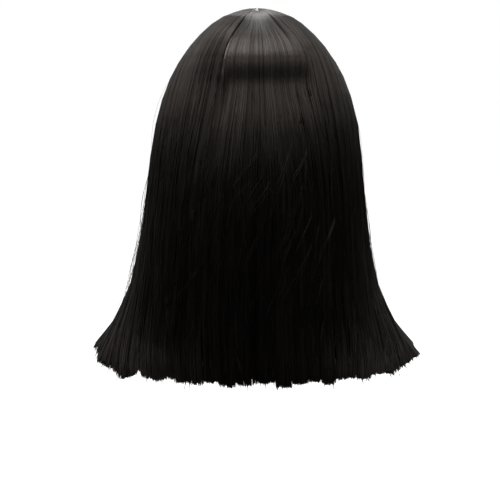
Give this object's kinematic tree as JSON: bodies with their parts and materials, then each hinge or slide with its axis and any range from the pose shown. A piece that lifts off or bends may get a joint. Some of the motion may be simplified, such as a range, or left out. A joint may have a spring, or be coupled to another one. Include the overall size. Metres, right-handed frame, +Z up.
{
  "type": "short wig",
  "caption": "Short straight black wig with a centre parting and blunt ends: panels of hair in locks on a net cap that a head goes into.",
  "frame": {"origin": "the inside top of the cap, where the crown of the head touches it", "axes": "+Z up; the wearer faces -Y, so +Y is behind; +X is the wearer's left"},
  "size_m": [0.2894, 0.2097, 0.3191],
  "materials": {
    "hair": "straight black synthetic hair with a soft sheen",
    "net": "matt black stretch net with rows of stitched hair",
    "parting": "matt pale skin-toned strip"
  },
  "bodies": {
    "root": {"cap": "net", "parting_strip": "parting", "hair_back": "hair", "hair_left": "hair", "hair_right": "hair"}
  },
  "joints": []
}
